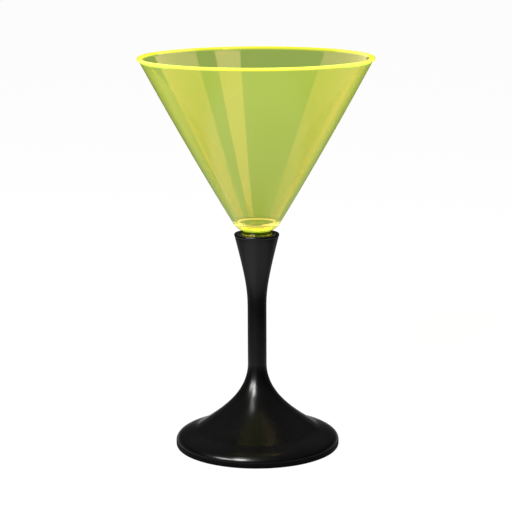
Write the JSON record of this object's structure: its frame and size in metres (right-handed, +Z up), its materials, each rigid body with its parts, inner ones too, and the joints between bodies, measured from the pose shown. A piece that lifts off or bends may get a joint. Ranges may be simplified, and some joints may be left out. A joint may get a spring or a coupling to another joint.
{
  "type": "light-up martini glass",
  "caption": "Light-up martini glass: see-through neon conical bowl screwed into a hollow black stem and bell foot with push button, button cells and lamps inside.",
  "frame": {"origin": "centre of the standing face, at the foot's lowest plane", "axes": "+Z up along the stem axis to the rim; +Y points to the battery door side of the base"},
  "size_m": [0.114, 0.114, 0.1928],
  "materials": {
    "bowl_plastic": "polished see-through neon yellow-green styrene, glowing at its edges",
    "black_plastic": "satin opaque black with a very fine grain",
    "cover_plastic": "fine-textured black",
    "button_plastic": "smooth black",
    "seal_rubber": "dark silicone",
    "window_clear": "clear polished",
    "board_green": "green solder mask",
    "lamp_clear": "water-clear epoxy",
    "wire_red": "red wire insulation",
    "wire_black": "black wire insulation",
    "chip_black": "moulded epoxy",
    "plunger_plastic": "smooth beige",
    "cell_steel": "nickel-plated",
    "contact_metal": "nickel-plated spring steel",
    "screw_steel": "zinc-plated"
  },
  "bodies": {
    "stem": {"stem_and_foot": "black_plastic", "light_window": "window_clear", "led_board": "board_green", "leds": "lamp_clear", "wire_led_positive": "wire_red", "wire_led_negative": "wire_black", "control_board": "board_green", "control_chip": "chip_black", "resistors": "chip_black", "switch_housing": "chip_black", "base_cover": "cover_plastic", "battery_cells": "cell_steel", "negative_contact": "contact_metal", "negative_spring": "contact_metal", "positive_contact": "contact_metal", "battery_lead_negative": "wire_black", "battery_lead_positive": "wire_red", "battery_door": "cover_plastic", "door_screw": "screw_steel", "cover_screws": "screw_steel", "board_screws": "screw_steel"},
    "seal": {"neck_seal_ring": "seal_rubber"},
    "bowl": {"bowl": "bowl_plastic"},
    "button": {"push_button": "button_plastic", "switch_plunger": "plunger_plastic"}
  },
  "joints": [
    {"name": "bowl_lift", "type": "slide", "parent": "stem", "child": "seal", "axis": [0, 0, 1], "range_m": [0, 0.009]},
    {"name": "bowl_turn", "type": "hinge", "parent": "seal", "child": "bowl", "pos_m": [0, 0, 0.1], "axis": [0, 0, 1], "range_deg": [0, 1080]},
    {"name": "button_press", "type": "slide", "parent": "stem", "child": "button", "axis": [0, 0, 1], "range_m": [0, 0.0005], "stiffness_N_per_m": 300, "springref_m": -0.003}
  ],
  "couplings": [
    {"joint": "bowl_lift", "follows": "bowl_turn", "m_per_rad": 0.00047746}
  ]
}
